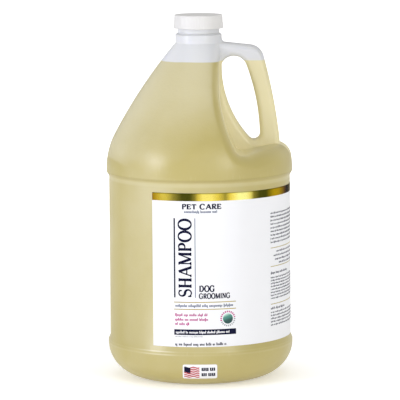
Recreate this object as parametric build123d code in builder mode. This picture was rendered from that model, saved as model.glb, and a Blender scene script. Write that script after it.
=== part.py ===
from build123d import *
import os
from math import cos, sin, acos, radians, degrees

os.makedirs("parts", exist_ok=True)

# overall sizes of the jug
wall = 1.0
fill_gap = 0.06
fill_level = 262.0

# base and body, radius and height
base_ring_in = 41.0
base_ring_out = 44.8
push_up = 5.0
push_up_r = 34.0
heel_w = 32.0
heel_h = 29.0
heel_top = 31.0
panel_r = 75.1
panel_low = 34.8
panel_high = 168.2
bead_z = 171.6
shoulder_r = 77.1
shoulder_z = 174.5

# shoulder arcs, lower then upper
low_arc_r = 60.0
low_arc_deg = 28.0
high_arc_r = 425.0
collar_r = 19.2
collar_top = 284.5

# side pockets that pinch the shoulder into the grip
pocket_low_round = 9.0
pocket_top_round = 5.0
pocket_round = 12.0

# grip
grip_half = 12.25
grip_round = 4.5
grip_corner = 13.0

# neck finish, 38 mm with a 400 thread
neck_root = 17.2
neck_bore = 15.4
neck_foot = 286.3
neck_top = 298.6
pitch = 4.2333
thread_depth = 1.3
thread_low = 291.6
thread_turns = 1.25

# screw cap and liner
cap_low = 289.8
cap_top = 301.0
cap_r_low = 20.6
cap_r_top = 19.9
cap_in = 19.0
cap_crest = 17.5
liner_t = 1.0
liner_r = 18.6

# wrap label, foil band and sticker
film = 0.12
film_gap = 0.03
label_low = 35.5
label_top = 161.5
label_start = -30.8
label_sweep = 199.0
foil_h = 6.4
sticker_w = 28.2
sticker_low = 8.0
sticker_high = 21.2


# solid of revolution of the body, inset by t all round
def body_round(t):
    with BuildPart() as solid:
        with BuildSketch(Plane.XZ):
            with BuildLine():
                heel_c = (base_ring_out, heel_h)
                heel_r = base_ring_out + heel_w - t
                EllipticalCenterArc(heel_c, heel_w - t, heel_h - t, start_angle=270, arc_size=90)
                Polyline(
                    (heel_r, heel_h),
                    (heel_r, heel_top),
                    (panel_r - t, panel_low),
                    (panel_r - t, panel_high),
                    (shoulder_r - t, bead_z),
                    (shoulder_r - t, shoulder_z),
                )
                low_c = (shoulder_r - low_arc_r, shoulder_z)
                CenterArc(low_c, low_arc_r - t, 0, low_arc_deg)
                turn = radians(low_arc_deg)
                high_x = low_c[0] + (low_arc_r - high_arc_r) * cos(turn)
                high_z = low_c[1] + (low_arc_r - high_arc_r) * sin(turn)
                end = degrees(acos((collar_r - t - high_x) / (high_arc_r - t)))
                CenterArc((high_x, high_z), high_arc_r - t, low_arc_deg, end - low_arc_deg)
                foot_z = high_z + (high_arc_r - t) * sin(radians(end))
                Polyline(
                    (collar_r - t, foot_z),
                    (collar_r - t, collar_top - t),
                    (0, collar_top - t),
                    (0, push_up + t),
                    (push_up_r, push_up + t),
                    (base_ring_in, t),
                    (base_ring_out, t),
                )
            make_face()
        revolve(axis=Axis.Z)
    return solid.part


# prism that cuts both side pockets, grown by t
def pocket_prism(t):
    with BuildPart() as solid:
        with BuildSketch(Plane.XZ) as outline:
            with BuildLine():
                ThreePointArc((16.8, 242), (20.4, 215.9), (32.6, 187.8))
                ThreePointArc((32.6, 187.8), (52, 193), (76, 196))
                Polyline((76, 196), (100, 197), (100, 282), (25.5, 282), (16.8, 262), (16.8, 242))
            make_face()
            fillet(outline.vertices().sort_by_distance((32.6, 187.8, 0))[0], pocket_low_round)
            fillet(outline.vertices().sort_by_distance((16.8, 262, 0))[0], pocket_top_round)
            if t > 0:
                offset(amount=t)
        extrude(amount=90, both=True)
    return solid.part


# flat-sided web with the grip and its finger hole, inset by t
def grip_web(t):
    half = grip_half - t
    with BuildPart() as solid:
        with BuildSketch(Plane.XZ) as outline:
            with BuildLine():
                Line((5, 279.7), (51.6, 274.62))
                ThreePointArc((51.6, 274.62), (61.8, 231.3), (66.3, 201.5))
                Polyline((66.3, 201.5), (67.6, 185), (5, 185), (5, 279.7))
            make_face()
            corner = outline.vertices().sort_by_distance((51.6, 274.62, 0))[0]
            fillet(corner, grip_corner)
            if t > 0:
                offset(amount=-t)
        extrude(amount=half, both=True)
        rims = solid.edges().filter_by(lambda e: abs(abs((e @ 0.5).Y) - half) < 0.001)
        rims = rims.filter_by(lambda e: (e @ 0.5).Z > 188 and (e @ 0.5).X > 7)
        fillet(rims, grip_round - t)
        before = solid.edges()
        with BuildSketch(Plane.XZ) as hole:
            with BuildLine():
                ThreePointArc((19.2, 261), (26.8, 221.9), (50.3, 190.5))
                ThreePointArc((50.3, 190.5), (48.9, 221), (38.8, 261.1))
                ThreePointArc((38.8, 261.1), (29.5, 267), (19.2, 261))
            make_face()
            fillet(hole.vertices().sort_by(Axis.Y)[0], 5)
            fillet(hole.vertices().sort_by(Axis.X)[0], 3)
            fillet(hole.vertices().sort_by_distance((38.8, 261.1, 0))[0], 5)
            if t > 0:
                offset(amount=t)
        extrude(amount=30, both=True, mode=Mode.SUBTRACT)
        rims = (solid.edges() - before).filter_by(lambda e: abs(abs((e @ 0.5).Y) - half) < 0.001)
        fillet(rims, grip_round - t)
    return solid.part


# body with its rounded side pockets, inset by t
def pinched_body(t):
    with BuildPart() as solid:
        add(body_round(t))
        add(pocket_prism(t), mode=Mode.SUBTRACT)
        cut = solid.faces().filter_by(lambda f: abs(f.normal_at().Y) < 0.0001 and f.center().X > 15)
        rims = ShapeList(e for f in cut for e in f.edges())
        rims = rims.filter_by(lambda e: abs((e @ 0.5).Y) > 5 and abs((e % 0.5).Y) < 0.98)
        fillet(rims, pocket_round - t)
    return solid.part


# helical thread ridge on a wall of radius r, pointing out or in
def thread_ridge(r, depth, low, turns):
    sign = 1 if depth > 0 else -1
    with BuildPart() as ridge:
        with BuildLine() as path:
            Helix(pitch, pitch * turns, r, center=(0, 0, low))
        start = path.line @ 0
        with BuildSketch(Plane(origin=start, x_dir=(1, 0, 0), z_dir=path.line % 0)):
            with BuildLine():
                Polyline(
                    (-0.3 * sign, -1.0),
                    (0, -0.95),
                    (depth, -0.4),
                    (depth, 0.4),
                    (0, 0.95),
                    (-0.3 * sign, 1.0),
                    (-0.3 * sign, -1.0),
                )
            make_face()
        sweep(path=path.line, is_frenet=True)
    return ridge.part


body_outside = pinched_body(0)
body_inside = pinched_body(wall)
web_outside = grip_web(0)
web_inside = grip_web(wall)

# whole thin-walled body, open into the grip and up the neck
with BuildPart() as shell:
    add(body_outside)
    add(body_inside, mode=Mode.SUBTRACT)
    add(web_inside, mode=Mode.SUBTRACT)
    with BuildSketch(Plane.XY.offset(collar_top - 5)):
        Circle(neck_bore)
    extrude(amount=10, mode=Mode.SUBTRACT)

# the shell parts at the bead's upper crease
with BuildPart() as jug_body:
    add(shell.part)
    with BuildSketch(Plane.XY.offset(-1)):
        Circle(shoulder_r + 5)
    extrude(amount=bead_z + 1, mode=Mode.INTERSECT)
jug_body.part.label = "jug_body"

with BuildPart() as jug_shoulder:
    add(shell.part)
    with BuildSketch(Plane.XY.offset(bead_z)):
        Circle(shoulder_r + 5)
    extrude(amount=150, mode=Mode.INTERSECT)
jug_shoulder.part.label = "jug_shoulder"

# hollow grip, up to the creases where it leaves the shoulder
with BuildPart() as jug_grip:
    add(web_outside)
    add(body_outside, mode=Mode.SUBTRACT)
    add(web_inside, mode=Mode.SUBTRACT)
jug_grip.part.label = "jug_grip"

with BuildPart() as jug_neck:
    with BuildSketch(Plane.XZ):
        with BuildLine():
            Polyline(
                (neck_bore, collar_top),
                (collar_r, collar_top),
                (neck_root, neck_foot),
                (neck_root, neck_top - 0.5),
                (neck_root - 0.5, neck_top),
                (neck_bore, neck_top),
                (neck_bore, collar_top),
            )
        make_face()
    revolve(axis=Axis.Z)
    add(thread_ridge(neck_root, thread_depth, thread_low, thread_turns))
jug_neck.part.label = "jug_neck"

with BuildPart() as shampoo_fill:
    add(pinched_body(wall + fill_gap))
    add(grip_web(wall + fill_gap))
    with BuildSketch(Plane.XY.offset(-1)):
        Circle(shoulder_r + 5)
    extrude(amount=fill_level + 1, mode=Mode.INTERSECT)
shampoo_fill.part.label = "shampoo_fill"

with BuildPart() as cap_shell:
    with BuildSketch(Plane.XZ):
        with BuildLine():
            Polyline(
                (cap_in, cap_low),
                (cap_r_low - 0.2, cap_low),
                (cap_r_low, cap_low + 0.4),
                (cap_r_low - 0.1, cap_low + 1.6),
                (cap_r_top, cap_top - 0.7),
                (cap_r_top - 0.7, cap_top),
                (0, cap_top),
                (0, neck_top + liner_t),
                (cap_in, neck_top + liner_t),
                (cap_in, cap_low),
            )
        make_face()
    revolve(axis=Axis.Z)
    ridge = thread_ridge(cap_in, cap_crest - cap_in, thread_low, thread_turns)
    add(ridge.rotate(Axis.Z, 180))
cap_shell.part.label = "cap_shell"

with BuildPart() as cap_liner:
    with BuildSketch(Plane.XY.offset(neck_top)):
        Circle(liner_r)
    extrude(amount=liner_t)
cap_liner.part.label = "cap_liner"


# curved film wrapped on the panel between two heights
def wrap_film(r, low, high):
    with BuildPart() as solid:
        with BuildSketch(Plane.XZ):
            with Locations((r + film / 2, (low + high) / 2)):
                Rectangle(film, high - low)
        revolve(axis=Axis.Z, revolution_arc=label_sweep)
    return solid.part.rotate(Axis.Z, label_start - 90)


with BuildPart() as label_film:
    add(wrap_film(panel_r + film_gap, label_low, label_top - foil_h))
label_film.part.label = "label_film"

with BuildPart() as foil_band:
    add(wrap_film(panel_r + film_gap, label_top - foil_h, label_top))
foil_band.part.label = "foil_band"

# sticker that follows the heel, cut by the outline seen from the front
with BuildPart() as origin_sticker:
    with BuildSketch(Plane.XZ):
        with BuildLine():
            heel_c = (base_ring_out, heel_h)
            inner = heel_w + film_gap
            EllipticalCenterArc(heel_c, inner, heel_h + film_gap, start_angle=270, arc_size=90)
            EllipticalCenterArc(heel_c, inner + film, heel_h + film_gap + film, start_angle=270, arc_size=90)
            Line((heel_c[0] + inner, heel_h), (heel_c[0] + inner + film, heel_h))
            Line((heel_c[0], -film_gap), (heel_c[0], -film_gap - film))
        make_face()
    revolve(axis=Axis.Z)
    with BuildSketch(Plane.XZ):
        with Locations((-0.7, (sticker_low + sticker_high) / 2)):
            RectangleRounded(sticker_w, sticker_high - sticker_low, 1.5)
    extrude(amount=100, mode=Mode.INTERSECT)
origin_sticker.part.label = "origin_sticker"

export_step(jug_body.part, "parts/jug_body.step")
export_step(jug_shoulder.part, "parts/jug_shoulder.step")
export_step(jug_grip.part, "parts/jug_grip.step")
export_step(jug_neck.part, "parts/jug_neck.step")
export_step(shampoo_fill.part, "parts/shampoo_fill.step")
export_step(cap_shell.part, "parts/cap_shell.step")
export_step(cap_liner.part, "parts/cap_liner.step")
export_step(label_film.part, "parts/label_film.step")
export_step(foil_band.part, "parts/foil_band.step")
export_step(origin_sticker.part, "parts/origin_sticker.step")
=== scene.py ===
import bpy, bmesh, math
import numpy as np
from mathutils import Matrix, Vector


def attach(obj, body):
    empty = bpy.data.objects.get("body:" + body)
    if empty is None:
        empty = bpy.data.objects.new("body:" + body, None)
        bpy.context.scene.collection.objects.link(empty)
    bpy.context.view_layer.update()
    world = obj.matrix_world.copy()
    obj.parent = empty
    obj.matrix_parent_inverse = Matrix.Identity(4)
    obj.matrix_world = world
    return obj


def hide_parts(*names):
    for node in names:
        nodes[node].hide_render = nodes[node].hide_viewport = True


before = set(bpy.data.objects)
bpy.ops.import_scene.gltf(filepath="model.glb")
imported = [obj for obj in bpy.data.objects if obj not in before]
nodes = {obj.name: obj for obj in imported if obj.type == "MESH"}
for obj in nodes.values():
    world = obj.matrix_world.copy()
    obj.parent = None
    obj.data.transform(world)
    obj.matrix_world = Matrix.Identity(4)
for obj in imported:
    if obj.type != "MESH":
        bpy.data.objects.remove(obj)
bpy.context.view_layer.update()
mm = 0.001
rng = np.random.default_rng(7)
print("frame loaded:", sorted(nodes))


# ---- mesh helpers

def newObject(name, verts, faces, material, uv=None, smooth=True):
    mesh = bpy.data.meshes.new(name)
    mesh.from_pydata(np.asarray(verts, float).tolist(), [], [list(map(int, f)) for f in faces])
    mesh.update()
    if uv is not None:
        layer = mesh.uv_layers.new(name="UVMap")
        loops = np.zeros(len(mesh.loops), np.int32)
        mesh.loops.foreach_get("vertex_index", loops)
        layer.data.foreach_set("uv", np.asarray(uv, np.float32)[loops].ravel())
    mesh.polygons.foreach_set("use_smooth", np.full(len(mesh.polygons), smooth))
    piece = bpy.data.objects.new(name, mesh)
    bpy.context.scene.collection.objects.link(piece)
    if material:
        mesh.materials.append(material)
    return piece


def gridFaces(rows, cols, closeRows=False, closeCols=False, start=0):
    # quads between neighbouring rows and columns of a grid, wrapped where it closes
    i = np.arange(rows if closeRows else rows - 1)
    j = np.arange(cols if closeCols else cols - 1)
    a, b = np.meshgrid(i, j, indexing="ij")
    a, b = a.ravel(), b.ravel()
    a2, b2 = (a + 1) % rows, (b + 1) % cols
    return start + np.stack([a * cols + b, a2 * cols + b, a2 * cols + b2, a * cols + b2], 1)


def onPanel(s, z, r):
    # arc length s round the panel and height z, both in mm, give a point at radius r
    turn = np.asarray(s, float) / r
    return np.stack([r * np.sin(turn), -r * np.cos(turn), np.asarray(z, float) + 0 * turn], -1) * mm


# ---- materials

def newGroup(name, inputs, outputs):
    group = bpy.data.node_groups.new(name, "ShaderNodeTree")
    for label, kind, value in inputs:
        socket = group.interface.new_socket(label, in_out="INPUT", socket_type=kind)
        socket.default_value = value
    for label, kind in outputs:
        group.interface.new_socket(label, in_out="OUTPUT", socket_type=kind)
    return group, group.nodes.new("NodeGroupInput"), group.nodes.new("NodeGroupOutput")


def mathNode(tree, kind, a, b=None, c=None, clamp=False):
    node = tree.nodes.new("ShaderNodeMath")
    node.operation = kind
    node.use_clamp = clamp
    for slot, value in enumerate((a, b, c)):
        if value is None:
            continue
        if isinstance(value, (int, float)):
            node.inputs[slot].default_value = value
        else:
            tree.links.new(value, node.inputs[slot])
    return node.outputs[0]


def mixColour(tree, factor, a, b, blend="MIX"):
    node = tree.nodes.new("ShaderNodeMix")
    node.data_type = "RGBA"
    node.blend_type = blend
    for slot, value in ((0, factor), (6, a), (7, b)):
        if isinstance(value, (int, float)):
            node.inputs[slot].default_value = value
        elif isinstance(value, tuple):
            node.inputs[slot].default_value = value + (1.0,) if len(value) == 3 else value
        else:
            tree.links.new(value, node.inputs[slot])
    return node.outputs[2]


def ramp(tree, factor, stops, smooth="EASE"):
    node = tree.nodes.new("ShaderNodeValToRGB")
    node.color_ramp.interpolation = smooth
    points = node.color_ramp.elements
    while len(points) > 1:
        points.remove(points[-1])
    for index, (place, colour) in enumerate(stops):
        point = points[0] if index == 0 else points.new(place)
        point.position = place
        point.color = colour + (1.0,)
    tree.links.new(factor, node.inputs[0])
    return node.outputs[0]


def makeSurfaceWear():
    group, gin, gout = newGroup(
        "surfaceWear",
        [("Scale", "NodeSocketFloat", 60.0), ("Grain", "NodeSocketFloat", 900.0), ("Seed", "NodeSocketFloat", 0.0)],
        [("Mottle", "NodeSocketFloat"), ("Grain", "NodeSocketFloat"), ("Scuff", "NodeSocketFloat")],
    )
    place = group.nodes.new("ShaderNodeTexCoord")
    shift = group.nodes.new("ShaderNodeVectorMath")
    shift.operation = "ADD"
    group.links.new(place.outputs["Object"], shift.inputs[0])
    group.links.new(gin.outputs["Seed"], shift.inputs[1])
    for label, scaleFrom, detail, low, high in (
        ("Mottle", "Scale", 3.0, 0.3, 0.7),
        ("Grain", "Grain", 2.0, 0.25, 0.75),
    ):
        noise = group.nodes.new("ShaderNodeTexNoise")
        noise.inputs["Detail"].default_value = detail
        group.links.new(shift.outputs[0], noise.inputs["Vector"])
        group.links.new(gin.outputs[scaleFrom], noise.inputs["Scale"])
        spread = group.nodes.new("ShaderNodeMapRange")
        spread.inputs["From Min"].default_value = low
        spread.inputs["From Max"].default_value = high
        spread.clamp = False
        group.links.new(noise.outputs["Fac"], spread.inputs["Value"])
        group.links.new(spread.outputs[0], gout.inputs[label])
    stretch = group.nodes.new("ShaderNodeMapping")  # fine scuffs run up and down the jug
    stretch.inputs["Scale"].default_value = (1.0, 1.0, 0.12)
    group.links.new(shift.outputs[0], stretch.inputs["Vector"])
    scratch = group.nodes.new("ShaderNodeTexNoise")
    scratch.inputs["Scale"].default_value = 700.0
    scratch.inputs["Detail"].default_value = 4.0
    group.links.new(stretch.outputs[0], scratch.inputs["Vector"])
    sharp = group.nodes.new("ShaderNodeMapRange")
    sharp.inputs["From Min"].default_value = 0.62
    sharp.inputs["From Max"].default_value = 0.74
    group.links.new(scratch.outputs["Fac"], sharp.inputs["Value"])
    group.links.new(sharp.outputs[0], gout.inputs["Scuff"])
    return group


surfaceWear = makeSurfaceWear()


def newMaterial(name, roughness, scale=60.0, grain=900.0, seed=0.0):
    material = bpy.data.materials.new(name)
    material.use_nodes = True
    tree = material.node_tree
    shader = tree.nodes["Principled BSDF"]
    wear = tree.nodes.new("ShaderNodeGroup")
    wear.node_tree = surfaceWear
    wear.inputs["Scale"].default_value = scale
    wear.inputs["Grain"].default_value = grain
    wear.inputs["Seed"].default_value = seed
    shader.inputs["Roughness"].default_value = roughness
    return material, tree, shader, wear


def finish(tree, shader, wear, colour, roughness, roughSpread=0.1, bump=0.05, bumpDepth=0.0001, height=None):
    if colour is not None:
        tree.links.new(colour, shader.inputs["Base Color"])
    rough = mathNode(tree, "MULTIPLY_ADD", wear.outputs["Mottle"], roughSpread, roughness - roughSpread / 2)
    rough = mathNode(tree, "MULTIPLY_ADD", wear.outputs["Scuff"], 0.04, rough, clamp=True)
    tree.links.new(rough, shader.inputs["Roughness"])
    relief = tree.nodes.new("ShaderNodeBump")
    relief.inputs["Strength"].default_value = bump
    relief.inputs["Distance"].default_value = bumpDepth
    tree.links.new(height if height is not None else wear.outputs["Grain"], relief.inputs["Height"])
    tree.links.new(relief.outputs[0], shader.inputs["Normal"])


jugPlastic = {
    "fillHeight": 0.2638,
    "liquidTone": (0.580, 0.522, 0.305),
    "liquidDeep": (0.465, 0.392, 0.138),
    "liquidThin": (0.640, 0.580, 0.345),
    "emptyTone": (0.700, 0.705, 0.715),
    "roughness": 0.36,
    "waxiness": 0.20,
    "glow": 0.18,
    "grain": 0.42,
}

# the shoulder's two arcs in metres: centre radius, centre height and arc radius
shoulderArcs = {"low": (0.0171, 0.1745, 0.060), "high": (-0.3052, 0.0031, 0.425), "meet": 0.2027}


def arcRadius(tree, z, arc):
    # the round body's radius at height z on an arc: centre radius plus the root of arc radius squared less rise squared
    centre, height, radius = arc
    rise = mathNode(tree, "SUBTRACT", z, height)
    rise = mathNode(tree, "MULTIPLY", rise, rise)
    run = mathNode(tree, "SUBTRACT", radius * radius, rise)
    run = mathNode(tree, "SQRT", mathNode(tree, "MAXIMUM", run, 0.0))
    return mathNode(tree, "ADD", run, centre)


def fade(tree, value, low, high):
    node = tree.nodes.new("ShaderNodeMapRange")
    node.interpolation_type = "SMOOTHSTEP"
    node.inputs["From Min"].default_value = low
    node.inputs["From Max"].default_value = high
    tree.links.new(value, node.inputs["Value"])
    return node.outputs[0]


def makeJugPlastic():
    p = jugPlastic
    material, tree, shader, wear = newMaterial("jugPlastic", p["roughness"], 45.0, 420.0)
    place = tree.nodes.new("ShaderNodeTexCoord")
    split = tree.nodes.new("ShaderNodeSeparateXYZ")
    tree.links.new(place.outputs["Object"], split.inputs[0])
    x, y, z = split.outputs
    wobble = mathNode(tree, "MULTIPLY_ADD", wear.outputs["Mottle"], 0.0004, z)
    filled = fade(tree, wobble, p["fillHeight"] + 0.0003, p["fillHeight"] - 0.0003)
    # how far a point lies inside the round body: nought on the shoulder, more in the side pockets
    high = arcRadius(tree, z, shoulderArcs["high"])
    low = arcRadius(tree, z, shoulderArcs["low"])
    upper = mathNode(tree, "GREATER_THAN", z, shoulderArcs["meet"])
    outer = mathNode(tree, "MULTIPLY_ADD", upper, mathNode(tree, "SUBTRACT", high, low), low)
    around = mathNode(tree, "SQRT", mathNode(tree, "ADD", mathNode(tree, "MULTIPLY", x, x), mathNode(tree, "MULTIPLY", y, y)))
    depth = mathNode(tree, "SUBTRACT", outer, around)
    onShoulder = fade(tree, z, 0.180, 0.192)
    recess = mathNode(tree, "MULTIPLY", fade(tree, depth, 0.0015, 0.010), onShoulder)
    rim = mathNode(tree, "MULTIPLY", fade(tree, depth, 0.0001, 0.0015), mathNode(tree, "SUBTRACT", onShoulder, recess))
    flank = mathNode(tree, "ABSOLUTE", y)
    inWeb = mathNode(tree, "MULTIPLY", fade(tree, flank, 0.0150, 0.0125), fade(tree, x, 0.0165, 0.0200))
    inGrip = mathNode(tree, "MULTIPLY", inWeb, onShoulder)
    # the liquid's tone carries painted light and shade: lighter on the lit left and towards the top of the shoulder,
    # deeper on the shaded right, at the far left edge and low on the shoulder over the crease above the panel, and
    # darker towards the bottom
    # painted light: the left of the shoulder, under the key light, is lighter
    paintedLightLeft = mathNode(tree, "MULTIPLY", mathNode(tree, "MINIMUM", x, 0.0), onShoulder)
    tone = mathNode(tree, "MULTIPLY_ADD", paintedLightLeft, 5.0, 0.56)
    # painted shade: deeper to the right, away from the key light
    tone = mathNode(tree, "MULTIPLY_ADD", mathNode(tree, "MAXIMUM", x, 0.0), 6.5, tone)
    tone = mathNode(tree, "MULTIPLY_ADD", onShoulder, -0.12, tone, clamp=True)
    # painted light: lighter towards the top of the shoulder
    tone = mathNode(tree, "MULTIPLY_ADD", fade(tree, z, 0.195, 0.250), -0.48, tone)
    tone = mathNode(tree, "MULTIPLY_ADD", wear.outputs["Mottle"], 0.16, tone)
    # painted shade: a deeper band down the panel's far left edge
    paintedShadeFarLeft = mathNode(tree, "SUBTRACT", fade(tree, x, -0.056, -0.075), mathNode(tree, "MULTIPLY", onShoulder, 2.0, clamp=True))
    tone = mathNode(tree, "MULTIPLY_ADD", mathNode(tree, "MAXIMUM", paintedShadeFarLeft, 0.0), 0.85, tone)
    # painted highlight: lighter on the panel beside the label's left edge, strongest towards its top
    paintedHighlightNearLabel = mathNode(tree, "SUBTRACT", fade(tree, x, -0.060, -0.042), fade(tree, x, -0.036, -0.010))
    paintedHighlightNearLabel = mathNode(tree, "MULTIPLY", paintedHighlightNearLabel, mathNode(tree, "SUBTRACT", fade(tree, z, 0.080, 0.162), fade(tree, z, 0.164, 0.170)))
    tone = mathNode(tree, "MULTIPLY_ADD", paintedHighlightNearLabel, -0.45, tone)
    # darker towards the bottom
    tone = mathNode(tree, "MULTIPLY_ADD", fade(tree, z, 0.018, 0.005), 0.4, tone)
    tone = mathNode(tree, "MULTIPLY_ADD", fade(tree, z, 0.038, 0.026), 0.2, tone)
    # painted shade: deeper low on the shoulder, over the crease above the panel, more so to the right
    paintedShadeLowShoulder = mathNode(tree, "SUBTRACT", fade(tree, z, 0.168, 0.176), fade(tree, z, 0.185, 0.245))
    paintedShadeLowShoulder = mathNode(tree, "MULTIPLY", paintedShadeLowShoulder, fade(tree, x, -0.070, 0.010))
    tone = mathNode(tree, "MULTIPLY_ADD", paintedShadeLowShoulder, 0.60, tone)
    # painted shade deepens the rim round the pockets, and painted light lightens the tone inside them
    tone = mathNode(tree, "MULTIPLY_ADD", rim, 0.7, tone)
    tone = mathNode(tree, "MULTIPLY_ADD", recess, -0.5, tone, clamp=True)
    liquid = mixColour(tree, tone, p["liquidTone"], p["liquidDeep"])
    # paler where the grip's web is thin, and in the pockets a painted light, half as strong
    pale = mathNode(tree, "MAXIMUM", inGrip, mathNode(tree, "MULTIPLY", recess, 0.5))
    liquid = mixColour(tree, pale, liquid, p["liquidThin"])
    darker = tuple(0.86 * c for c in p["emptyTone"])
    # painted shade: above the liquid the jug darkens towards the right
    emptyShadeRight = mathNode(tree, "MULTIPLY_ADD", x, 12.0, 0.35, clamp=True)
    empty = mixColour(tree, emptyShadeRight, p["emptyTone"], darker)
    colour = mixColour(tree, filled, empty, liquid)
    # painted shade: a thin dark line in the crease above the panel
    creaseShade = mathNode(tree, "SUBTRACT", fade(tree, z, 0.1695, 0.1706), fade(tree, z, 0.1716, 0.1728))
    colour = mixColour(tree, mathNode(tree, "MULTIPLY", creaseShade, 0.42), colour, (0.34, 0.27, 0.07))
    # two fine lines of light on the heel's rolled edge, brightest under the key light
    tread = mathNode(tree, "SUBTRACT", fade(tree, z, 0.0279, 0.0284), fade(tree, z, 0.0290, 0.0296))
    tread = mathNode(tree, "ADD", tread, mathNode(tree, "SUBTRACT", fade(tree, z, 0.0305, 0.0310), fade(tree, z, 0.0314, 0.0319)))
    treadLit = mathNode(tree, "SUBTRACT", fade(tree, x, -0.056, -0.036), fade(tree, x, -0.030, -0.016))
    treadLit = mathNode(tree, "MULTIPLY_ADD", treadLit, 0.26, 0.05)
    colour = mixColour(tree, mathNode(tree, "MULTIPLY", tread, treadLit), colour, (0.90, 0.87, 0.72))
    # painted highlight: a pale band just under the crease
    ledgeHighlight = mathNode(tree, "SUBTRACT", fade(tree, z, 0.1650, 0.1668), fade(tree, z, 0.1684, 0.1694))
    colour = mixColour(tree, mathNode(tree, "MULTIPLY", ledgeHighlight, 0.14), colour, (0.80, 0.76, 0.56))
    # scuffs gather on the base ring and the widest places, where the jug rubs on a shelf
    rubbed = mathNode(tree, "MULTIPLY_ADD", fade(tree, z, 0.006, 0.001), 0.45, 0.02)
    rubbed = mathNode(tree, "MULTIPLY_ADD", fade(tree, around, 0.0764, 0.0771), 0.05, rubbed)
    colour = mixColour(tree, mathNode(tree, "MULTIPLY", wear.outputs["Scuff"], rubbed), colour, (0.86, 0.85, 0.78))
    # painted glow: an emission in the pockets and on the lower grip stands in for light that has come through the
    # liquid
    shaded = mathNode(tree, "MULTIPLY", recess, fade(tree, x, 0.056, 0.034))
    gripGlowMask = mathNode(tree, "MULTIPLY", inGrip, fade(tree, x, 0.040, 0.052))
    gripGlowMask = mathNode(tree, "MULTIPLY", gripGlowMask, mathNode(tree, "MULTIPLY_ADD", fade(tree, z, 0.258, 0.225), 0.65, 0.35))
    shaded = mathNode(tree, "MAXIMUM", shaded, gripGlowMask)
    glow = mixColour(tree, shaded, (0.0, 0.0, 0.0), liquid)
    tree.links.new(mixColour(tree, filled, (0.0, 0.0, 0.0), glow), shader.inputs["Emission Color"])
    shader.inputs["Emission Strength"].default_value = p["glow"]
    # parting line of the mould, a faint raised seam in the plane of the grip
    seam = mathNode(tree, "ABSOLUTE", y)
    seam = mathNode(tree, "MULTIPLY_ADD", seam, -2500.0, 1.0, clamp=True)
    height = mathNode(tree, "MULTIPLY_ADD", seam, 3.0, wear.outputs["Grain"])
    height = mathNode(tree, "MULTIPLY_ADD", wear.outputs["Mottle"], 0.8, height)
    finish(tree, shader, wear, colour, p["roughness"], 0.08, p["grain"], 0.00012, height)
    shader.inputs["Subsurface Weight"].default_value = p["waxiness"]
    shader.inputs["Subsurface Radius"].default_value = (1.0, 0.9, 0.6)
    shader.inputs["Subsurface Scale"].default_value = 0.0004
    shader.inputs["Specular IOR Level"].default_value = 0.60
    return material


def plainMaterial(name, tone, roughness, toneSpread=0.06, seed=0.0, bump=0.04, metal=0.0, scale=60.0, grain=900.0,
                  scuff=0.08, roughSpread=0.08, shine=0.5):
    material, tree, shader, wear = newMaterial(name, roughness, scale, grain, seed)
    darker = tuple(c * (1 - toneSpread) for c in tone)
    colour = mixColour(tree, wear.outputs["Mottle"], tone, darker)
    colour = mixColour(tree, mathNode(tree, "MULTIPLY", wear.outputs["Scuff"], scuff), colour, (0.6, 0.6, 0.6))
    finish(tree, shader, wear, colour, roughness, roughSpread, bump)
    shader.inputs["Metallic"].default_value = metal
    shader.inputs["Specular IOR Level"].default_value = shine
    return material


foil = {
    "pale": (0.97, 0.92, 0.30),
    "bright": (0.87, 0.73, 0.15),
    "gold": (0.66, 0.50, 0.055),
    "tan": (0.48, 0.37, 0.045),
    "amber": (0.46, 0.30, 0.003),
    "dim": (0.34, 0.23, 0.015),
    "dull": (0.23, 0.19, 0.025),
    "olive": (0.046, 0.050, 0.004),
    "dark": (0.006, 0.005, 0.001),
    "edge": (0.19, 0.095, 0.002),
    "roughness": 0.22,
}


def makeFoil():
    p = foil
    material, tree, shader, wear = newMaterial("goldFoil", p["roughness"], 80.0, 1500.0, 3.0)
    along = tree.nodes.new("ShaderNodeUVMap")
    split = tree.nodes.new("ShaderNodeSeparateXYZ")
    tree.links.new(along.outputs[0], split.inputs[0])
    stretch = tree.nodes.new("ShaderNodeMapping")
    stretch.inputs["Scale"].default_value = (60.0, 0.3, 1.0)
    tree.links.new(along.outputs[0], stretch.inputs["Vector"])
    streak = tree.nodes.new("ShaderNodeTexNoise")
    streak.inputs["Scale"].default_value = 1.5
    streak.inputs["Detail"].default_value = 3.0
    tree.links.new(stretch.outputs[0], streak.inputs["Vector"])
    # painted reflections: u runs once round the film, so each band of painted sheen and dark reflection sits at its own
    # angle
    paintedReflectionBands = [
        (0.000, p["edge"]), (0.020, p["dim"]), (0.036, p["tan"]), (0.050, p["tan"]), (0.074, p["dull"]),
        (0.098, p["olive"]), (0.126, p["olive"]), (0.140, p["dull"]), (0.151, p["gold"]), (0.164, p["bright"]),
        (0.190, p["bright"]), (0.212, p["gold"]), (0.236, p["dull"]), (0.251, p["gold"]), (0.266, p["bright"]),
        (0.282, p["pale"]), (0.306, p["pale"]), (0.322, p["bright"]), (0.335, p["dull"]), (0.358, p["olive"]),
        (0.388, p["olive"]), (0.426, p["amber"]), (0.455, p["amber"]), (0.516, p["dark"]), (0.580, p["dark"]),
        (0.640, p["bright"]), (0.700, p["gold"]), (0.760, p["olive"]), (0.820, p["bright"]), (0.880, p["gold"]),
        (0.940, p["olive"]), (1.000, p["edge"]),
    ]
    colour = ramp(tree, split.outputs[0], paintedReflectionBands, "LINEAR")
    colour = mixColour(tree, mathNode(tree, "MULTIPLY", streak.outputs["Fac"], 0.06), colour, p["gold"])
    hem = mathNode(tree, "MULTIPLY", fade(tree, split.outputs[1], 0.80, 1.0), 0.6)
    colour = mixColour(tree, hem, colour, p["olive"])
    finish(tree, shader, wear, colour, p["roughness"], 0.08, 0.05)
    shader.inputs["Metallic"].default_value = 0.85
    shader.inputs["Specular Tint"].default_value = (0.30, 0.24, 0.07, 1.0)
    return material


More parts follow.
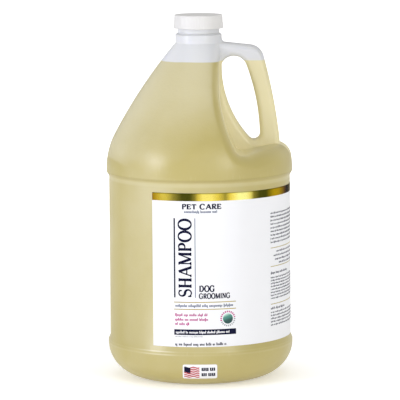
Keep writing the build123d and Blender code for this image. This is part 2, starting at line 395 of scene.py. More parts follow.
jugMaterial = makeJugPlastic()
foilMaterial = makeFoil()
labelMaterial = plainMaterial(
    "labelWhite", (0.832, 0.832, 0.846), 0.42, 0.012, 1.0, 0.02, scuff=0.015, roughSpread=0.03, shine=0.35)
navyInk = plainMaterial("navyInk", (0.004, 0.005, 0.030), 0.6, 0.2, 2.0, scuff=0.01, shine=0.1)
slateInk = plainMaterial("slateInk", (0.10, 0.13, 0.21), 0.5, 0.2, 2.5, scuff=0.02, shine=0.1)
goldInk = plainMaterial("goldInk", (0.46, 0.35, 0.05), 0.40, 0.3, 4.0, metal=0.2, scuff=0.02, shine=0.1)
magentaInk = plainMaterial("magentaInk", (0.48, 0.003, 0.20), 0.5, 0.2, 5.0, scuff=0.02, shine=0.1)
greyInk = plainMaterial("greyInk", (0.35, 0.36, 0.38), 0.4, 0.2, 6.0)
whiteInk = plainMaterial("whiteInk", (0.88, 0.88, 0.90), 0.35, 0.04, 6.5)
redInk = plainMaterial("redInk", (0.52, 0.015, 0.03), 0.5, 0.2, 7.0, scuff=0.02, shine=0.1)
capMaterial = plainMaterial("capPlastic", (0.705, 0.693, 0.672), 0.40, 0.03, 8.0, 0.10, scale=90.0, scuff=0.04)
linerMaterial = plainMaterial("linerFoam", (0.78, 0.78, 0.76), 0.75, 0.06, 9.0, 0.25)
print("materials made:", len(bpy.data.materials))


# ---- jug: the four mouldings merged and smoothed in place of the loose triangles

jugShell = {"mergeDistance": 0.00001, "creaseDegrees": 32.0}


def smoothCopy(source, name, material):
    mesh = source.data.copy()
    mesh.name = name
    work = bmesh.new()
    work.from_mesh(mesh)
    bmesh.ops.remove_doubles(work, verts=work.verts, dist=jugShell["mergeDistance"])
    work.normal_update()
    limit = math.radians(jugShell["creaseDegrees"])
    for edge in work.edges:
        edge.smooth = len(edge.link_faces) == 2 and edge.calc_face_angle(0.0) < limit
    for face in work.faces:
        face.smooth = True
    work.to_mesh(mesh)
    work.free()
    if mesh.has_custom_normals:
        mesh.normals_split_custom_set([(0, 0, 0)] * len(mesh.loops))
    mesh.materials.clear()
    mesh.materials.append(material)
    piece = bpy.data.objects.new(name, mesh)
    bpy.context.scene.collection.objects.link(piece)
    return piece


for node, name in (
    ("jug_body", "jugBodySkin"),
    ("jug_shoulder", "jugShoulderSkin"),
    ("jug_grip", "jugGripSkin"),
    ("jug_neck", "jugNeckSkin"),
):
    skin = smoothCopy(nodes[node], name, jugMaterial)
    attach(skin, "bottle")
    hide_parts(node)
print("jug skins smoothed")

# the small hollow curve that carries the collar into the grip's top
collarBlend = {"collar": 19.2, "reach": 4.6, "flat": 7.75, "round": 4.5, "left": (5.0, 279.7), "right": (51.6, 274.62), "side": 11.9}


def gripTop(rho, phi):
    # the grip's top is a sloping line in x, dropping by a quarter round past its flat in y
    b = collarBlend
    slope = (b["right"][1] - b["left"][1]) / (b["right"][0] - b["left"][0])
    past = np.clip(np.abs(rho * np.sin(phi)) - b["flat"], 0, b["round"])
    return b["left"][1] + slope * (rho * np.cos(phi) - b["left"][0]) - b["round"] + np.sqrt(b["round"] ** 2 - past ** 2)


def blendWedge():
    # each section is a quadratic curve from the collar's side to the grip's top; its size fades with the angle
    b = collarBlend
    v = np.linspace(-1, 1, 41)[:, None]
    t = np.linspace(0, 1, 13)[None, :]
    phi = v * math.asin(b["side"] / b["collar"])
    size = b["reach"] * np.sqrt(np.maximum(1 - v ** 2, 0.0004))
    foot, far = gripTop(b["collar"], phi), gripTop(b["collar"] + size, phi)
    rho = b["collar"] * ((1 - t) ** 2 + 2 * t * (1 - t)) + (b["collar"] + size) * t ** 2
    z = (foot + size) * (1 - t) ** 2 + 2 * foot * t * (1 - t) + far * t ** 2
    rho = np.concatenate([rho, 0 * size + b["collar"] - 0.3], 1)
    z = np.concatenate([z, foot - 0.3], 1)
    points = np.stack([rho * np.cos(phi), rho * np.sin(phi), z], -1)
    rows, cols = rho.shape
    faces = gridFaces(rows, cols, closeCols=True).tolist()
    faces.append(list(range(cols)))
    faces.append(list(range((rows - 1) * cols, rows * cols))[::-1])
    piece = newObject("collarBlend", points.reshape(-1, 3) * mm, faces, jugMaterial)
    work = bmesh.new()
    work.from_mesh(piece.data)
    bmesh.ops.recalc_face_normals(work, faces=work.faces)
    for edge in work.edges:
        edge.smooth = edge.calc_face_angle(0.0) < 0.6
    work.to_mesh(piece.data)
    work.free()
    return piece


blendPiece = blendWedge()
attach(blendPiece, "bottle")
print("collar blended into the grip")

# ---- shampoo: a glossy amber-yellow fill seen through the open neck

fillLook = {"tone": (0.62, 0.52, 0.18), "roughness": 0.08}
fillMaterial = plainMaterial("shampooGel", fillLook["tone"], fillLook["roughness"], 0.08, 11.0, 0.02, scale=25.0)
nodes["shampoo_fill"].data.materials.clear()
nodes["shampoo_fill"].data.materials.append(fillMaterial)

# ---- wrap label and foil band: a thin rectangle carried round the panel

label = {
    "inner": 75.13, "thick": 0.12, "startDeg": -30.8, "sweepDeg": 199.0,
    "low": 35.5, "high": 161.5, "foilHeight": 6.4, "steps": 200,
}


def wrapFilm(name, low, high, material):
    # the film's section is a rectangle with softened corners; each section is turned about the jug's axis
    r0, r1, soft = label["inner"], label["inner"] + label["thick"], 0.03
    section = np.array([
        (r0, low + soft), (r0, high - soft), (r0 + soft, high), (r1 - soft, high),
        (r1, high - soft), (r1, low + soft), (r1 - soft, low), (r0 + soft, low),
    ])
    turn = np.radians(label["startDeg"] + label["sweepDeg"] * np.linspace(0, 1, label["steps"] + 1))
    r = section[None, :, 0] + 0 * turn[:, None]
    points = np.stack([r * np.sin(turn)[:, None], -r * np.cos(turn)[:, None], section[None, :, 1] + 0 * r], -1)
    uv = np.stack([np.broadcast_to(np.linspace(0, 1, len(turn))[:, None], r.shape),
                   (section[None, :, 1] - low) / (high - low) + 0 * r], -1)
    cols = len(section)
    faces = gridFaces(len(turn), cols, closeCols=True).tolist()
    faces.append(list(range(cols)))
    faces.append(list(range((len(turn) - 1) * cols, len(turn) * cols))[::-1])
    piece = newObject(name, points.reshape(-1, 3) * mm, faces, material, uv.reshape(-1, 2))
    work = bmesh.new()
    work.from_mesh(piece.data)
    bmesh.ops.recalc_face_normals(work, faces=work.faces)
    for edge in work.edges:
        edge.smooth = edge.calc_face_angle(0.0) < 0.6
    work.to_mesh(piece.data)
    work.free()
    return piece


foilLow = label["high"] - label["foilHeight"]
labelPiece = wrapFilm("labelFilm", label["low"], foilLow, labelMaterial)
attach(labelPiece, "bottle")
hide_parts("label_film")
foilPiece = wrapFilm("foilBand", foilLow, label["high"], foilMaterial)
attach(foilPiece, "bottle")
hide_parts("foil_band")
print("label and foil wrapped")

# ---- print on the label: flat ink patches laid on the film by arc length and height

ink = {"radius": 75.27, "stepMm": 1.2, "film": 0.000015}


def giveBody(piece, thickness):
    # a print is a closed film: its thickness goes inwards from the outer face
    film = piece.modifiers.new("film", "SOLIDIFY")
    film.thickness = thickness
    film.offset = -1.0


def inkPatches(name, boxes, material, radius=None):
    # each box (s0, s1, z0, z1) becomes a strip of quads short enough to follow the curve
    radius = radius or ink["radius"]
    verts, faces, count = [], [], 0
    for s0, s1, z0, z1 in boxes:
        n = max(2, int(math.ceil((s1 - s0) / ink["stepMm"])) + 1)
        s, z = np.meshgrid(np.linspace(s0, s1, n), (z0, z1), indexing="ij")
        verts.append(onPanel(s, z, radius).reshape(-1, 3))
        faces.append(gridFaces(n, 2, start=count))
        count += 2 * n
    piece = newObject(name, np.concatenate(verts), np.concatenate(faces), material, smooth=False)
    giveBody(piece, ink["film"])
    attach(piece, "bottle")
    return piece


def textLine(s0, s1, z, height, fill=0.93, word=6.0):
    # a line of unreadable small type: letters of uneven width and height, in words
    boxes, s = [], s0
    while s < s0 + (s1 - s0) * fill:
        letters = int(rng.integers(2, word + 4))
        for _ in range(letters):
            width = height * rng.uniform(0.28, 0.5)
            if s + width > s1:
                break
            tall = height * rng.choice([0.62, 0.66, 0.62, 1.0])
            drop = height * (0.28 if rng.random() < 0.12 else 0.0)
            boxes.append((s, s + width * 0.74, z - drop, z + tall))
            s += width
        s += height * 0.42
    return boxes


# high-contrast capitals: every stroke is a centre line with a width at each of its points
pens = {"big": (0.100, 0.200), "small": (0.165, 0.25)}
thin, thick = pens["big"]


def lineStroke(x0, y0, x1, y1, width):
    t = np.linspace(0, 1, 6)
    return np.stack([x0 + (x1 - x0) * t, y0 + (y1 - y0) * t], 1), np.full(6, width)


def arcStroke(cx, cy, rx, ry, a0, a1, n=28):
    # an ellipse's arc, widest where the pen runs up or down
    a = np.radians(np.linspace(a0, a1, n))
    run = np.stack([-rx * np.sin(a), ry * np.cos(a)], 1)
    up = np.abs(run[:, 1]) / np.hypot(run[:, 0], run[:, 1])
    return np.stack([cx + rx * np.cos(a), cy + ry * np.sin(a)], 1), thin + (thick - thin) * up ** 1.6


def serif(x, y, half=0.13):
    return lineStroke(x - half, y, x + half, y, thin)


def letterStrokes(letter):
    top, low, mid = 1 - thin / 2, thin / 2, 0.5
    if letter == "O":
        return 0.86, [arcStroke(0.43, 0.5, 0.36, 0.49, 0, 360, 48)]
    if letter in "CG":
        parts = [arcStroke(0.43, 0.5, 0.36, 0.49, 48, 318, 44), lineStroke(0.70, 0.98, 0.70, 0.70, thin)]
        if letter == "G":
            parts += [lineStroke(0.69, 0.42, 0.69, 0.06, thick), serif(0.69, 0.43, 0.15)]
        return 0.86, parts
    if letter == "I":
        return 0.36, [lineStroke(0.18, low, 0.18, top, thick), serif(0.18, top), serif(0.18, low)]
    if letter in "PRD":
        parts = [lineStroke(0.16, low, 0.16, top, thick), serif(0.16, top), serif(0.16, low)]
        if letter == "D":
            return 0.84, parts + [arcStroke(0.30, 0.5, 0.42, 0.48, -90, 90, 30)]
        parts += [arcStroke(0.34, 0.735, 0.24, 0.24, -90, 90, 20), lineStroke(0.16, mid - 0.005, 0.36, mid - 0.005, thin)]
        parts += [lineStroke(0.16, top, 0.36, top, thin)]
        if letter == "R":
            parts += [lineStroke(0.38, 0.48, 0.60, 0.03, thick), serif(0.66, low, 0.1)]
        return (0.74 if letter == "R" else 0.68), parts
    if letter == "H":
        parts = [lineStroke(0.16, low, 0.16, top, thick), lineStroke(0.64, low, 0.64, top, thick)]
        parts += [lineStroke(0.16, mid, 0.64, mid, thin)]
        return 0.80, parts + [serif(x, y) for x in (0.16, 0.64) for y in (low, top)]
    if letter == "N":
        parts = [lineStroke(0.14, low, 0.14, top, thin), lineStroke(0.70, low, 0.70, top, thin)]
        parts += [lineStroke(0.16, 0.97, 0.68, 0.04, thick)]
        return 0.84, parts + [serif(0.14, low), serif(0.14, top), serif(0.70, top)]
    if letter == "M":
        parts = [lineStroke(0.13, low, 0.13, top, thin), lineStroke(0.85, low, 0.85, top, thick)]
        parts += [lineStroke(0.15, 0.97, 0.48, 0.04, thick), lineStroke(0.48, 0.04, 0.83, 0.97, thin)]
        return 1.0, parts + [serif(0.13, low), serif(0.85, low), serif(0.13, top, 0.1), serif(0.87, top, 0.1)]
    if letter == "A":
        parts = [lineStroke(0.10, low, 0.42, 0.98, thin), lineStroke(0.42, 0.98, 0.74, low, thick)]
        return 0.86, parts + [lineStroke(0.22, 0.36, 0.62, 0.36, thin), serif(0.10, low, 0.1), serif(0.75, low)]
    if letter in "EF":
        parts = [lineStroke(0.16, low, 0.16, top, thick), serif(0.14, top), serif(0.14, low)]
        parts += [lineStroke(0.16, top, 0.60, top, thin), lineStroke(0.16, mid, 0.48, mid, thin)]
        parts += [lineStroke(0.60, top, 0.60, 0.74, thin), lineStroke(0.48, 0.60, 0.48, 0.40, thin)]
        if letter == "E":
            parts += [lineStroke(0.16, low, 0.62, low, thin), lineStroke(0.62, low, 0.62, 0.28, thin)]
        return 0.72, parts
    if letter == "T":
        parts = [lineStroke(0.36, low, 0.36, top, thick), lineStroke(0.06, top, 0.66, top, thin), serif(0.36, low)]
        return 0.72, parts + [lineStroke(0.06, top, 0.06, 0.74, thin), lineStroke(0.66, top, 0.66, 0.74, thin)]
    if letter == "S":
        t = np.linspace(0, 1, 44)
        a = np.radians(np.where(t < 0.5, 40 + 230 * (t / 0.5), 90 - 240 * ((t - 0.5) / 0.5)))
        y = np.where(t < 0.5, 0.74 + 0.235 * np.sin(a), 0.265 + 0.24 * np.sin(a))
        x = np.where(t < 0.5, 0.33 + 0.22 * np.cos(a), 0.33 + 0.25 * np.cos(a))
        width = thin + (thick - thin) * np.exp(-((t - 0.5) / 0.17) ** 2)
        ends = [lineStroke(0.52, 0.98, 0.52, 0.74, thin), lineStroke(0.08, 0.02, 0.08, 0.28, thin)]
        return 0.66, [(np.stack([x, y], 1), width)] + ends
    return 0.4, []


def wordShapes(word, space=0.06):
    # strips either side of every centre line, with the pen's width at each point, set side by side
    strips, pen = [], 0.0
    for letter in word:
        wide, strokes = letterStrokes(letter)
        for line, width in strokes:
            run = np.gradient(line, axis=0)
            run /= np.maximum(np.hypot(run[:, 0], run[:, 1]), 1e-9)[:, None]
            side = np.stack([-run[:, 1], run[:, 0]], 1) * width[:, None] / 2
            strips.append((line + side + (pen, 0), line - side + (pen, 0)))
        pen += wide + space
    return strips, pen - space


def setWord(name, word, place, material, space=0.06, pen="small"):
    # place turns a letter's x and y, in parts of the capital height and of the word's length, into s and z
    global thin, thick
    thin, thick = pens[pen]
    strips, total = wordShapes(word, space)
    verts, faces, count = [], [], 0
    for left, right in strips:
        both = np.stack([left, right], 1)
        s, z = place(both[..., 0] / total, both[..., 1])
        verts.append(onPanel(s, z, ink["radius"]).reshape(-1, 3))
        faces.append(gridFaces(len(left), 2, start=count))
        count += 2 * len(left)
    piece = newObject(name, np.concatenate(verts), np.concatenate(faces), material, smooth=False)
    giveBody(piece, ink["film"])
    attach(piece, "bottle")
    return piece


front = {
    "left": -21.7, "right": 29.7, "ruleTop": 141.2, "ruleLow": 76.2,
    "word": "SHAMPOO", "smallWords": ("DOG", "GROOMING"), "heading": "PET CARE",
}
setWord("bigWord", front["word"], lambda u, v: (-7.0 - 10.8 * v, 76.4 + 64.3 * u), navyInk, 0.05, "big")
setWord("smallWordA", front["smallWords"][0], lambda u, v: (-0.9 + 12.6 * u, 81.0 + 5.0 * v), navyInk)
setWord("smallWordB", front["smallWords"][1], lambda u, v: (-1.0 + 25.6 * u, 75.3 + 4.3 * v), navyInk)
setWord("headingWord", front["heading"], lambda u, v: (-14.6 + 32.4 * u, 148.5 + 4.3 * v), navyInk)

navyBoxes = [(-21.6, -20.4, front["ruleLow"], front["ruleTop"]), (front["left"], front["right"], 45.4, 50.0)]
slateBoxes = [(-4.3, -3.7, front["ruleLow"], front["ruleTop"])]
goldBoxes = [(front["left"], front["right"], z, z + 0.65) for z in (72.0, 66.2)]
magentaBoxes, greyBoxes, whiteBoxes = [], [], []
slateBoxes += textLine(-12.7, 14.5, 145.5, 2.2, 1.0, 12)
slateBoxes += textLine(-20.5, 28.5, 68.5, 2.3, 0.97, 9)
magentaBoxes += textLine(-20.9, 6.6, 61.0, 2.2)
magentaBoxes += textLine(-20.9, 6.6, 57.2, 2.2)
magentaBoxes += textLine(-20.9, -8.7, 53.6, 2.2, 1.0)
whiteBoxes += textLine(-20.3, 28.0, 46.8, 2.0)
greyBoxes += textLine(-20.8, 1.8, 43.7, 1.0)
navyBoxes += textLine(-21.0, 21.7, 36.7, 2.4, 0.98, 5)

column = {"left": 66.0, "right": 122.0, "pitch": 3.0, "type": 1.55}
for row in range(9):
    navyBoxes += textLine(column["left"], column["right"] - rng.uniform(0, 9), 140.6 - column["pitch"] * row, column["type"])
for row, (a, b) in enumerate(((74, 116), (70, 119), (72, 117), (78, 111))):
    navyBoxes += textLine(a, b, 108.6 - 3.2 * row, column["type"])
goldBoxes += [(column["left"], column["right"], z, z + 0.55) for z in (112.2, 96.9, 65.7)]
navyBoxes += textLine(column["left"], column["left"] + 30, 91.0, 2.0)
for row in range(8):
    navyBoxes += textLine(column["left"], column["right"] - rng.uniform(0, 9), 87.4 - 2.45 * row, 1.4)
navyBoxes += textLine(column["left"], column["left"] + 24, 61.6, 2.0)
for row in range(5):
    navyBoxes += textLine(column["left"], column["right"] - rng.uniform(0, 9), 58.6 - 2.6 * row, 1.4)

# the third column and its bars, on the far side of the wrap
far = {"left": 134.0, "right": 205.0}
for row in range(14):
    navyBoxes += textLine(far["left"], far["right"] - rng.uniform(0, 12), 140.6 - 3.0 * row, 1.5)
goldBoxes += [(far["left"], far["right"], z, z + 0.55) for z in (95.5, 65.7)]
for row in range(8):
    slateBoxes += textLine(far["left"], far["right"] - rng.uniform(0, 12), 91.0 - 2.8 * row, 1.4)
bar = far["left"] + 4
while bar < far["left"] + 38:
    wide = float(rng.choice([0.35, 0.7, 1.05]))
    navyBoxes.append((bar, bar + wide, 42.0, 60.5))
    bar += wide + float(rng.choice([0.35, 0.7]))

inkPatches("navyPrint", navyBoxes, navyInk)
inkPatches("slatePrint", slateBoxes, slateInk)
inkPatches("goldPrint", goldBoxes, goldInk)
inkPatches("magentaPrint", magentaBoxes, magentaInk)
inkPatches("greyPrint", greyBoxes, greyInk)
inkPatches("whitePrint", whiteBoxes, whiteInk, 75.285)
print("label printed:", len(navyBoxes), "navy marks")

# ---- roundel: a shaded disc inside a ring of small marks

roundel = {"s": 22.7, "z": 58.4, "disc": 4.25, "ringIn": 5.1, "ringOut": 6.5}


def polarPatch(name, r0, r1, a0, a1, rings, steps, material):
    # radius runs along one parameter and angle along the other, then both are laid on the panel
    rad, ang = np.meshgrid(np.linspace(r0, r1, rings), np.radians(np.linspace(a0, a1, steps)), indexing="ij")
    s, z = roundel["s"] + rad * np.cos(ang), roundel["z"] + rad * np.sin(ang)
    uv = np.stack([0.5 + rad * np.cos(ang) / (2 * r1), 0.5 + rad * np.sin(ang) / (2 * r1)], -1)
    points = onPanel(s, z, ink["radius"])
    piece = newObject(name, points.reshape(-1, 3), gridFaces(rings, steps), material, uv.reshape(-1, 2), False)
    giveBody(piece, ink["film"])
    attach(piece, "bottle")
    return piece


def makeDiscTeal():
    material, tree, shader, wear = newMaterial("discTeal", 0.4, 120.0, 1200.0, 12.0)
    along = tree.nodes.new("ShaderNodeUVMap")
    split = tree.nodes.new("ShaderNodeSeparateXYZ")
    tree.links.new(along.outputs[0], split.inputs[0])
    slant = mathNode(tree, "MULTIPLY_ADD", split.outputs[0], -0.35, split.outputs[1])
    colour = ramp(tree, slant, [(0.10, (0.010, 0.060, 0.055)), (0.50, (0.050, 0.230, 0.180)), (0.90, (0.520, 0.760, 0.640))], "EASE")
    finish(tree, shader, wear, colour, 0.3)
    return material


polarPatch("roundelDisc", 0.02, roundel["disc"], 0, 360, 8, 49, makeDiscTeal())
for index in range(22):
    turn = 8 + index * 360 / 22
    shade = magentaInk if turn < 190 else greyInk
    polarPatch("ringMark%02d" % index, roundel["ringIn"], roundel["ringOut"], turn, turn + 9.5, 2, 3, shade)
print("roundel made")

# ---- heel sticker: a rounded rectangle laid on the ellipse of the heel

sticker = {"left": -14.75, "right": 13.35, "low": 8.05, "high": 21.15, "corner": 1.4, "lift": 0.03, "thick": 0.12}
heel = {"ring": 44.8, "wide": 32.0, "tall": 29.0}


def onHeel(x, z, lift):
    # the heel's radius at height z comes from its ellipse; y is then what keeps the point on that circle
    drop = np.clip((heel["tall"] - z) / heel["tall"], -1, 1)
    r = heel["ring"] + heel["wide"] * np.sqrt(1 - drop ** 2) + lift
    return np.stack([x, -np.sqrt(r ** 2 - x ** 2), z + 0 * x], -1) * mm


def stickerShape(name, material):
    # columns across, rows up; each row's half width shrinks in the corners by a quarter circle
    rows, cols = 33, 49
    v = np.linspace(0, 1, rows)
    z = sticker["low"] + (sticker["high"] - sticker["low"]) * v
    near = np.minimum(z - sticker["low"], sticker["high"] - z)
    bite = sticker["corner"] - np.sqrt(np.maximum(0, sticker["corner"] ** 2 - np.maximum(0, sticker["corner"] - near) ** 2))
    u = np.linspace(0, 1, cols)
    left, right = sticker["left"] + bite, sticker["right"] - bite
    x = left[:, None] + (right - left)[:, None] * u[None, :]
    zz = z[:, None] + 0 * x
    outer = onHeel(x, zz, sticker["lift"] + sticker["thick"]).reshape(-1, 3)
    inner = onHeel(x, zz, sticker["lift"]).reshape(-1, 3)
    n = rows * cols
    faces = gridFaces(rows, cols)
    ring = np.concatenate([np.arange(cols), np.arange(1, rows) * cols + cols - 1,
                           n - 2 - np.arange(cols - 1), (np.arange(rows - 2, 0, -1)) * cols])
    nextRing = np.roll(ring, -1)
    rim = np.stack([ring, nextRing, nextRing + n, ring + n], 1)
    piece = newObject(name, np.concatenate([outer, inner]), np.concatenate([faces, faces[:, ::-1] + n, rim]), material)
    work = bmesh.new()
    work.from_mesh(piece.data)
    bmesh.ops.recalc_face_normals(work, faces=work.faces)
    for edge in work.edges:
        edge.smooth = edge.calc_face_angle(0.0) < 0.6
    work.to_mesh(piece.data)
    work.free()
    return piece


stickerPiece = stickerShape("heelSticker", whiteInk)
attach(stickerPiece, "bottle")
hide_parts("origin_sticker")


def stickerInk(name, boxes, material, wave=0.0, lift=0.17):
    # boxes on the heel in a grid fine enough to follow both of its curves, waved by a sine along x
    verts, faces, count = [], [], 0
    for x0, x1, z0, z1 in boxes:
        cols, rows = int((x1 - x0) / 0.6) + 2, int((z1 - z0) / 0.5) + 2
        x, z = np.meshgrid(np.linspace(x0, x1, cols), np.linspace(z0, z1, rows), indexing="ij")
        z = z + wave * np.sin((x - sticker["left"]) * 0.9)
        verts.append(onHeel(x, z, lift).reshape(-1, 3))
        faces.append(gridFaces(cols, rows, start=count))
        count += cols * rows
    piece = newObject(name, np.concatenate(verts), np.concatenate(faces), material, smooth=False)
    giveBody(piece, ink["film"])
    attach(piece, "bottle")


stickerInk("stickerNavy", [(-13.6, -8.4, 13.9, 18.9)], navyInk, 0.45)
stripes = [(-8.6 if z > 13.5 else -13.6, -1.2, z, z + 1.0) for z in (9.4, 11.1, 12.8, 14.5, 16.2, 17.9)]
stickerInk("stickerRed", stripes, redInk, 0.45)
blocks = []
for low, tall, runs in ((15.4, 2.9, ((0.6, 4), (7.4, 3))), (10.5, 2.9, ((0.6, 3), (6.0, 4)))):
    for start, count in runs:
        for index in range(count):
            left = start + 1.5 * index
            blocks.append((left, left + 1.2, low, low + tall))
            if index % 2:
                blocks.append((left - 0.5, left + 0.2, low, low + 0.7))
stickerInk("stickerType", blocks, navyInk)
print("heel sticker made")

# ---- screw cap: a lathe profile with fine ribs round its skirt, and the thread inside

cap = {"low": 289.8, "high": 301.0, "rLow": 20.6, "rTop": 19.9, "inner": 19.0, "roof": 299.6, "ribs": 96, "ribDepth": 0.14}


def capShape():
    # radius and height follow the profile; on the skirt the radius dips between the ribs by a raised cosine
    p = cap
    profile = [
        (0.0, p["roof"], 0), (9.0, p["roof"], 0), (18.4, p["roof"], 0), (18.9, p["roof"] - 0.3, 0), (p["inner"], p["roof"] - 1, 0),
        (p["inner"], p["low"] + 0.5, 0), (p["inner"] + 0.3, p["low"], 0), (p["rLow"] - 0.4, p["low"], 0), (p["rLow"] - 0.08, p["low"] + 0.12, 0),
        (p["rLow"], p["low"] + 0.4, 0), (p["rLow"] - 0.03, p["low"] + 0.9, 0.2), (p["rLow"] - 0.06, p["low"] + 1.2, 1),
    ]
    for t in np.linspace(0.15, 1, 8):
        profile.append((p["rLow"] - 0.06 + (p["rTop"] + 0.02 - p["rLow"] + 0.06) * t, p["low"] + 1.2 + 8.6 * t, 1))
    profile += [
        (p["rTop"] + 0.01, p["high"] - 1.1, 0.3), (p["rTop"], p["high"] - 0.8, 0), (p["rTop"] - 0.1, p["high"] - 0.35, 0),
        (p["rTop"] - 0.35, p["high"] - 0.08, 0), (p["rTop"] - 0.7, p["high"], 0), (p["rTop"] - 1.3, p["high"] - 0.05, 0),
        (p["rTop"] - 1.8, p["high"] - 0.18, 0), (12.0, p["high"] - 0.2, 0), (0.0, p["high"] - 0.2, 0),
    ]
    profile = np.array(profile)
    steps = p["ribs"] * 6
    turn = np.linspace(0, 2 * np.pi, steps, endpoint=False)
    dip = 0.5 - 0.5 * np.cos(turn * p["ribs"])
    r = profile[:, 0][:, None] - p["ribDepth"] * profile[:, 2][:, None] * dip[None, :]
    points = np.stack([r * np.cos(turn), r * np.sin(turn), profile[:, 1][:, None] + 0 * r], -1)
    piece = newObject("screwCap", points.reshape(-1, 3) * mm, gridFaces(len(profile), steps, closeCols=True), capMaterial)
    work = bmesh.new()
    work.from_mesh(piece.data)
    bmesh.ops.remove_doubles(work, verts=work.verts, dist=0.000001)
    bmesh.ops.recalc_face_normals(work, faces=work.faces)
    work.to_mesh(piece.data)
    work.free()
    return piece


def helixRidge(name, r, depth, low, turns, startTurn, material, pitch=4.2333):
    # a trapezium section carried round the axis while it climbs by the pitch, sunk at both ends
    section = np.array([(-0.3 * np.sign(depth), -1.0), (0, -0.95), (depth, -0.4), (depth, 0.4), (0, 0.95), (-0.3 * np.sign(depth), 1.0)])
    t = np.linspace(0, turns, int(turns * 90) + 1)
    ease = np.clip(np.minimum(t, turns - t) / 0.06, 0.05, 1)[:, None]
    turn = 2 * np.pi * (t + startTurn)
    rad = r + np.where(section[None, :, 0] * np.sign(depth) > 0, section[None, :, 0] * ease, section[None, :, 0])
    z = low + pitch * t[:, None] + section[None, :, 1]
    points = np.stack([rad * np.cos(turn)[:, None], rad * np.sin(turn)[:, None], z], -1)
    cols = len(section)
    faces = gridFaces(len(t), cols, closeCols=True).tolist()
    faces.append(list(range(cols)))
    faces.append(list(range((len(t) - 1) * cols, len(t) * cols))[::-1])
    piece = newObject(name, points.reshape(-1, 3) * mm, faces, material, smooth=False)
    work = bmesh.new()
    work.from_mesh(piece.data)
    bmesh.ops.recalc_face_normals(work, faces=work.faces)
    work.to_mesh(piece.data)
    work.free()
    return piece


capPiece = capShape()
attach(capPiece, "cap")
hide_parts("cap_shell")
capThread = helixRidge("capThread", cap["inner"], -1.4, 291.6, 1.25, 0.5, capMaterial)
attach(capThread, "cap")
nodes["cap_liner"].data.materials.clear()
nodes["cap_liner"].data.materials.append(linerMaterial)
print("cap made")

# ---- floor, light and camera

studio = {
    "floorTone": (0.93, 0.93, 0.93), "glowNear": 0.26, "glowFoot": 0.15, "glowFar": 0.85, "air": 0.43, "backdrop": 1.05,
    "key": 10.0, "front": 7.0, "fill": 8.6, "top": 7.2, "back": 1.0, "sweep": 9.5,
}
floorMaterial = bpy.data.materials.new("paleFloor")
floorMaterial.use_nodes = True
floorShader = floorMaterial.node_tree.nodes["Principled BSDF"]
floorShader.inputs["Base Color"].default_value = studio["floorTone"] + (1.0,)
floorShader.inputs["Roughness"].default_value = 0.9
floorShader.inputs["Specular IOR Level"].default_value = 0.1
floorTree = floorMaterial.node_tree
floorPlace = floorTree.nodes.new("ShaderNodeTexCoord")
floorReach = floorTree.nodes.new("ShaderNodeVectorMath")  # the floor brightens with distance, like a swept backdrop
floorReach.operation = "LENGTH"
floorTree.links.new(floorPlace.outputs["Object"], floorReach.inputs[0])
floorGlow = fade(floorTree, floorReach.outputs["Value"], 0.15, 1.6)
floorSeen = floorTree.nodes.new("ShaderNodeLightPath").outputs["Is Camera Ray"]  # only in view: it lights nothing
floorGlow = mathNode(floorTree, "ADD", floorGlow, studio["glowFoot"])
floorGlow = mathNode(floorTree, "MULTIPLY", floorGlow, floorSeen)
floorGlow = mathNode(floorTree, "MULTIPLY_ADD", floorGlow, studio["glowFar"] - studio["glowNear"], studio["glowNear"])
floorShader.inputs["Emission Color"].default_value = (1.0, 1.0, 1.0, 1.0)
floorTree.links.new(floorGlow, floorShader.inputs["Emission Strength"])
corner = np.array([(-1, -1, 0), (1, -1, 0), (1, 1, 0), (-1, 1, 0)]) * (30.0, 30.0, 0.0)
floor = newObject("floor", corner, [(0, 1, 2, 3)], floorMaterial, smooth=False)

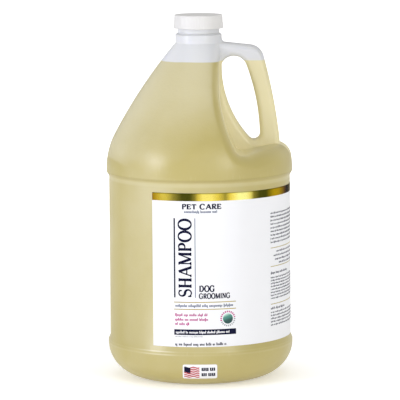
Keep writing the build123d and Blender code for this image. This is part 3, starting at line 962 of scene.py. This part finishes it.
world = bpy.data.worlds.new("studioAir")
bpy.context.scene.world = world
world.use_nodes = True
air = world.node_tree
background = air.nodes["Background"]
background.inputs[0].default_value = (1.0, 1.0, 1.0, 1.0)
seen = air.nodes.new("ShaderNodeLightPath").outputs["Is Camera Ray"]  # white behind, softer grey around
lift = mathNode(air, "MULTIPLY_ADD", seen, studio["backdrop"] - studio["air"], studio["air"])
air.links.new(lift, background.inputs[1])


def softbox(name, power, size, place, target, tone=(1, 1, 1)):
    light = bpy.data.lights.new(name, "AREA")
    light.shape = "RECTANGLE"
    light.size, light.size_y = size
    light.energy = power
    light.color = tone
    lamp = bpy.data.objects.new(name, light)
    lamp.location = place
    lamp.rotation_euler = (Vector(target) - Vector(place)).to_track_quat("-Z", "Y").to_euler()
    bpy.context.scene.collection.objects.link(lamp)


softbox("keyLight", studio["key"], (0.40, 0.58), (-1.38, -0.92, 0.50), (0, 0, 0.15), (0.965, 0.985, 1.12))
softbox("frontLight", studio["front"], (1.5, 1.1), (0.05, -2.4, 1.0), (0, 0, 0.15))
softbox("fillLight", studio["fill"], (0.26, 0.85), (1.05, -1.60, 0.70), (0, 0, 0.15))
softbox("topLight", studio["top"], (1.6, 1.6), (0, -0.2, 1.9), (0, 0, 0))
softbox("backLight", studio["back"], (1.2, 0.8), (0.0, 1.5, 1.2), (0, 0, 0.1))
softbox("leftSweep", studio["sweep"], (2.2, 2.2), (-2.0, 1.7, 1.3), (0, 0, 0.2))
softbox("rightSweep", studio["sweep"], (2.2, 2.2), (2.0, 1.7, 1.3), (0, 0, 0.2))

view = {"distance": 2.7, "height": 0.4938, "aside": 0.0003, "pitchDeg": 7.33, "rollDeg": -0.41, "lens": 294.6}
camera = bpy.data.cameras.new("camera")
camera.lens = view["lens"]
camera.sensor_width = 36.0
camera.clip_end = 60.0
cameraObject = bpy.data.objects.new("camera", camera)
tilt = Matrix.Rotation(math.radians(90 - view["pitchDeg"]), 4, "X") @ Matrix.Rotation(math.radians(view["rollDeg"]), 4, "Z")
cameraObject.matrix_world = Matrix.Translation((view["aside"], -view["distance"], view["height"])) @ tilt
bpy.context.scene.collection.objects.link(cameraObject)
bpy.context.scene.camera = cameraObject
bpy.context.scene.view_settings.view_transform = "Standard"
print("studio set")
